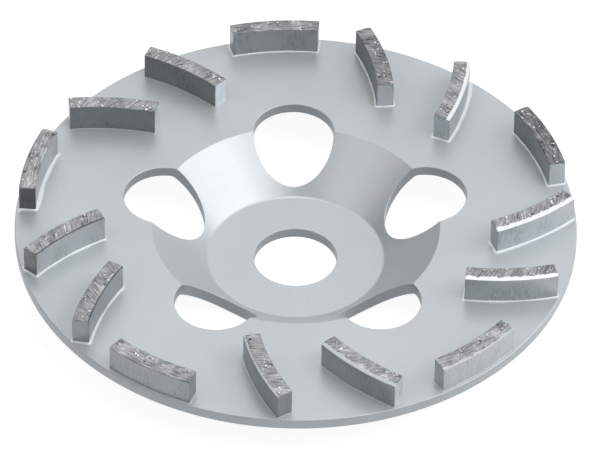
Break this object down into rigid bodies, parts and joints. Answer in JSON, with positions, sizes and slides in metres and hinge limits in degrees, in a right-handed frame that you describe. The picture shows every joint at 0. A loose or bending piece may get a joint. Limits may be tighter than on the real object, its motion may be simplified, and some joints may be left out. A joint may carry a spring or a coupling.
{
  "type": "diamond cup wheel",
  "caption": "Dished steel cup wheel with a central bore, vent holes and arc-shaped diamond segments brazed round its rim face.",
  "frame": {"origin": "on the spindle axis, at the back face of the hub", "axes": "+Z along the spindle axis from the hub towards the segments; +X and +Y in the plane of the wheel"},
  "size_m": [0.15, 0.15, 0.0229],
  "materials": {
    "silver_lacquered_steel": "satin silver lacquer over pressed steel",
    "diamond_segment": "sintered metal-bond matrix, ground bare on top and silver lacquered on its sides",
    "braze": "braze filler under the same silver lacquer"
  },
  "bodies": {
    "root": {"steel_cup": "silver_lacquered_steel", "segment_01": "diamond_segment", "segment_02": "diamond_segment", "segment_03": "diamond_segment", "segment_04": "diamond_segment", "segment_05": "diamond_segment", "segment_06": "diamond_segment", "segment_07": "diamond_segment", "segment_08": "diamond_segment", "segment_09": "diamond_segment", "segment_10": "diamond_segment", "segment_11": "diamond_segment", "segment_12": "diamond_segment", "segment_13": "diamond_segment", "segment_14": "diamond_segment", "segment_15": "diamond_segment", "braze_01": "braze", "braze_02": "braze", "braze_03": "braze", "braze_04": "braze", "braze_05": "braze", "braze_06": "braze", "braze_07": "braze", "braze_08": "braze", "braze_09": "braze", "braze_10": "braze", "braze_11": "braze", "braze_12": "braze", "braze_13": "braze", "braze_14": "braze", "braze_15": "braze"}
  },
  "joints": []
}
